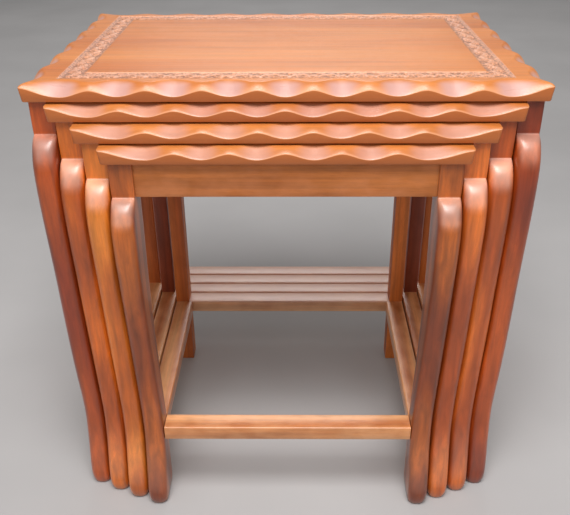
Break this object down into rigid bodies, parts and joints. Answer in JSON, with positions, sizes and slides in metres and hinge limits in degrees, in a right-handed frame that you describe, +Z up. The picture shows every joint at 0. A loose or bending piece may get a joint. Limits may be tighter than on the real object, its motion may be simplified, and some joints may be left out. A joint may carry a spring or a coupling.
{
  "type": "nest of tables",
  "caption": "Nest of graduated hardwood side tables with scalloped tops, a carved band on the largest, S-curved front legs and low stretchers; each inner table slides out to the front.",
  "frame": {"origin": "on the floor, under the middle of the whole nest's bounding box with the inner tables pushed in", "axes": "+Z up; +X to the right along the tops' length, -Y towards the front, where the inner tables come out"},
  "size_m": [0.5594, 0.4307, 0.5455],
  "materials": {
    "top": "satin varnished orange-brown hardwood, fine straight grain",
    "front_leg_red_brown": "satin varnished red-brown hardwood",
    "front_leg_mid_brown": "satin varnished mid-brown mottled hardwood",
    "front_leg_golden": "satin varnished golden hardwood",
    "front_leg_dark": "satin varnished dark brown-red mottled hardwood",
    "back_leg": "satin varnished brown hardwood",
    "apron": "satin varnished orange-brown hardwood",
    "stretcher": "satin varnished, slightly worn and paler on top"
  },
  "bodies": {
    "table_1": {"table_1_top": "top", "table_1_front_leg_left": "front_leg_red_brown", "table_1_back_leg_left": "back_leg", "table_1_side_apron_left": "apron", "table_1_side_stretcher_left": "stretcher", "table_1_front_leg_right": "front_leg_red_brown", "table_1_back_leg_right": "back_leg", "table_1_side_apron_right": "apron", "table_1_side_stretcher_right": "stretcher", "table_1_back_apron": "apron", "table_1_back_stretcher": "stretcher"},
    "table_2": {"table_2_top": "top", "table_2_front_leg_left": "front_leg_mid_brown", "table_2_back_leg_left": "back_leg", "table_2_side_apron_left": "apron", "table_2_side_stretcher_left": "stretcher", "table_2_front_leg_right": "front_leg_mid_brown", "table_2_back_leg_right": "back_leg", "table_2_side_apron_right": "apron", "table_2_side_stretcher_right": "stretcher", "table_2_back_apron": "apron", "table_2_back_stretcher": "stretcher"},
    "table_3": {"table_3_top": "top", "table_3_front_leg_left": "front_leg_golden", "table_3_back_leg_left": "back_leg", "table_3_side_apron_left": "apron", "table_3_side_stretcher_left": "stretcher", "table_3_front_leg_right": "front_leg_golden", "table_3_back_leg_right": "back_leg", "table_3_side_apron_right": "apron", "table_3_side_stretcher_right": "stretcher", "table_3_back_apron": "apron", "table_3_back_stretcher": "stretcher"},
    "table_4": {"table_4_top": "top", "table_4_front_leg_left": "front_leg_dark", "table_4_back_leg_left": "back_leg", "table_4_side_apron_left": "apron", "table_4_side_stretcher_left": "stretcher", "table_4_front_leg_right": "front_leg_dark", "table_4_back_leg_right": "back_leg", "table_4_side_apron_right": "apron", "table_4_side_stretcher_right": "stretcher", "table_4_back_apron": "apron", "table_4_back_stretcher": "stretcher", "table_4_front_apron": "apron", "table_4_front_stretcher": "stretcher"}
  },
  "joints": [
    {"name": "table_2_slide", "type": "slide", "parent": "table_1", "child": "table_2", "axis": [0, -1, 0], "range_m": [0, 0.4]},
    {"name": "table_3_slide", "type": "slide", "parent": "table_2", "child": "table_3", "axis": [0, -1, 0], "range_m": [0, 0.4]},
    {"name": "table_4_slide", "type": "slide", "parent": "table_3", "child": "table_4", "axis": [0, -1, 0], "range_m": [0, 0.4]}
  ]
}
